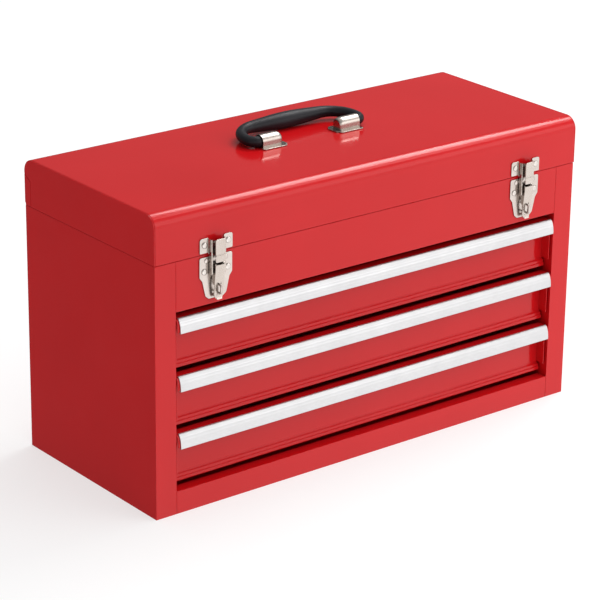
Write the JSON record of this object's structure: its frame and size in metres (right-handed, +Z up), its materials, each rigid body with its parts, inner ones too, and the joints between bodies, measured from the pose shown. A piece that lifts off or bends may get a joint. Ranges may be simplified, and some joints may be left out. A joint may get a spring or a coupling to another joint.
{
  "type": "portable tool chest",
  "caption": "Portable steel tool chest with drawers on ball-bearing slides, a hinged lid over a top till, draw latches and a folding carry handle.",
  "frame": {"origin": "centre of the flat underside, on the surface the chest stands on", "axes": "+X to the right seen from the front, -Y to the front (drawer side), +Z up"},
  "size_m": [0.52, 0.23, 0.3171],
  "materials": {
    "red_paint": "gloss red powder-coat enamel",
    "nickel_steel": "satin nickel plate",
    "zinc_steel": "zinc plate",
    "bright_aluminium": "bright satin anodised",
    "black_grip": "moulded black, satin"
  },
  "bodies": {
    "cabinet": {"side_panel_left": "red_paint", "side_panel_right": "red_paint", "back_panel": "red_paint", "bottom_panel": "red_paint", "front_fascia": "red_paint", "till_floor": "red_paint", "slide_bracket_left": "red_paint", "slide_bracket_right": "red_paint", "hinge_leaf_body": "zinc_steel", "hinge_pin": "zinc_steel", "lid_stay_body_stud": "zinc_steel", "latch_left_base": "nickel_steel", "latch_left_base_rivets": "nickel_steel", "latch_right_base": "nickel_steel", "latch_right_base_rivets": "nickel_steel", "drawer_1_slide_outer_left": "zinc_steel", "drawer_1_slide_outer_right": "zinc_steel", "drawer_2_slide_outer_left": "zinc_steel", "drawer_2_slide_outer_right": "zinc_steel", "drawer_3_slide_outer_left": "zinc_steel", "drawer_3_slide_outer_right": "zinc_steel"},
    "lid": {"lid_shell": "red_paint", "lid_end_left": "red_paint", "lid_end_right": "red_paint", "hinge_leaf_lid": "zinc_steel", "lid_stay_lid_stud": "zinc_steel", "handle_bracket_left": "nickel_steel", "handle_bracket_right": "nickel_steel", "latch_left_keeper": "nickel_steel", "latch_left_keeper_rivets": "nickel_steel", "latch_right_keeper": "nickel_steel", "latch_right_keeper_rivets": "nickel_steel"},
    "handle": {"handle_grip": "black_grip"},
    "lid_stay": {"lid_stay_arm": "zinc_steel"},
    "latch_left_lever": {"latch_left_lever": "nickel_steel"},
    "latch_left_link": {"latch_left_link": "nickel_steel"},
    "latch_right_lever": {"latch_right_lever": "nickel_steel"},
    "latch_right_link": {"latch_right_link": "nickel_steel"},
    "drawer_1": {"drawer_1_box": "red_paint", "drawer_1_front": "red_paint", "drawer_1_pull": "bright_aluminium", "drawer_1_slide_inner_left": "zinc_steel", "drawer_1_slide_inner_right": "zinc_steel"},
    "drawer_1_ball_cages": {"drawer_1_slide_cage_left": "zinc_steel", "drawer_1_slide_cage_right": "zinc_steel"},
    "drawer_2": {"drawer_2_box": "red_paint", "drawer_2_front": "red_paint", "drawer_2_pull": "bright_aluminium", "drawer_2_slide_inner_left": "zinc_steel", "drawer_2_slide_inner_right": "zinc_steel"},
    "drawer_2_ball_cages": {"drawer_2_slide_cage_left": "zinc_steel", "drawer_2_slide_cage_right": "zinc_steel"},
    "drawer_3": {"drawer_3_box": "red_paint", "drawer_3_front": "red_paint", "drawer_3_pull": "bright_aluminium", "drawer_3_slide_inner_left": "zinc_steel", "drawer_3_slide_inner_right": "zinc_steel"},
    "drawer_3_ball_cages": {"drawer_3_slide_cage_left": "zinc_steel", "drawer_3_slide_cage_right": "zinc_steel"}
  },
  "joints": [
    {"name": "lid_hinge", "type": "hinge", "parent": "cabinet", "child": "lid", "pos_m": [0, 0.1102, 0.2522], "axis": [-1, 0, 0], "range_deg": [0, 95]},
    {"name": "lid_stay_turn", "type": "hinge", "parent": "cabinet", "child": "lid_stay", "pos_m": [0.25175, 0.0862, 0.2382], "axis": [-1, 0, 0], "range_deg": [0, 42]},
    {"name": "handle_swing", "type": "hinge", "parent": "lid", "child": "handle", "pos_m": [0, 0, 0.3064], "axis": [1, 0, 0], "range_deg": [0, 172]},
    {"name": "latch_left_lever_turn", "type": "hinge", "parent": "cabinet", "child": "latch_left_lever", "pos_m": [-0.1915, -0.112, 0.241], "axis": [-1, 0, 0], "range_deg": [0, 90]},
    {"name": "latch_left_link_turn", "type": "hinge", "parent": "latch_left_lever", "child": "latch_left_link", "pos_m": [-0.1915, -0.111, 0.2342], "axis": [-1, 0, 0], "range_deg": [-77, 0]},
    {"name": "latch_right_lever_turn", "type": "hinge", "parent": "cabinet", "child": "latch_right_lever", "pos_m": [0.1915, -0.112, 0.241], "axis": [-1, 0, 0], "range_deg": [0, 90]},
    {"name": "latch_right_link_turn", "type": "hinge", "parent": "latch_right_lever", "child": "latch_right_link", "pos_m": [0.1915, -0.111, 0.2342], "axis": [-1, 0, 0], "range_deg": [-77, 0]},
    {"name": "drawer_1_slide", "type": "slide", "parent": "cabinet", "child": "drawer_1", "axis": [0, -1, 0], "range_m": [0, 0.14]},
    {"name": "drawer_1_cages_slide", "type": "slide", "parent": "cabinet", "child": "drawer_1_ball_cages", "axis": [0, -1, 0], "range_m": [0, 0.07]},
    {"name": "drawer_2_slide", "type": "slide", "parent": "cabinet", "child": "drawer_2", "axis": [0, -1, 0], "range_m": [0, 0.14]},
    {"name": "drawer_2_cages_slide", "type": "slide", "parent": "cabinet", "child": "drawer_2_ball_cages", "axis": [0, -1, 0], "range_m": [0, 0.07]},
    {"name": "drawer_3_slide", "type": "slide", "parent": "cabinet", "child": "drawer_3", "axis": [0, -1, 0], "range_m": [0, 0.14]},
    {"name": "drawer_3_cages_slide", "type": "slide", "parent": "cabinet", "child": "drawer_3_ball_cages", "axis": [0, -1, 0], "range_m": [0, 0.07]}
  ],
  "couplings": [
    {"joint": "lid_stay_turn", "follows": "lid_hinge", "ratio": 0.44},
    {"joint": "latch_left_link_turn", "follows": "latch_left_lever_turn", "ratio": -0.85},
    {"joint": "latch_right_link_turn", "follows": "latch_right_lever_turn", "ratio": -0.85},
    {"joint": "drawer_1_cages_slide", "follows": "drawer_1_slide", "ratio": 0.5},
    {"joint": "drawer_2_cages_slide", "follows": "drawer_2_slide", "ratio": 0.5},
    {"joint": "drawer_3_cages_slide", "follows": "drawer_3_slide", "ratio": 0.5}
  ]
}
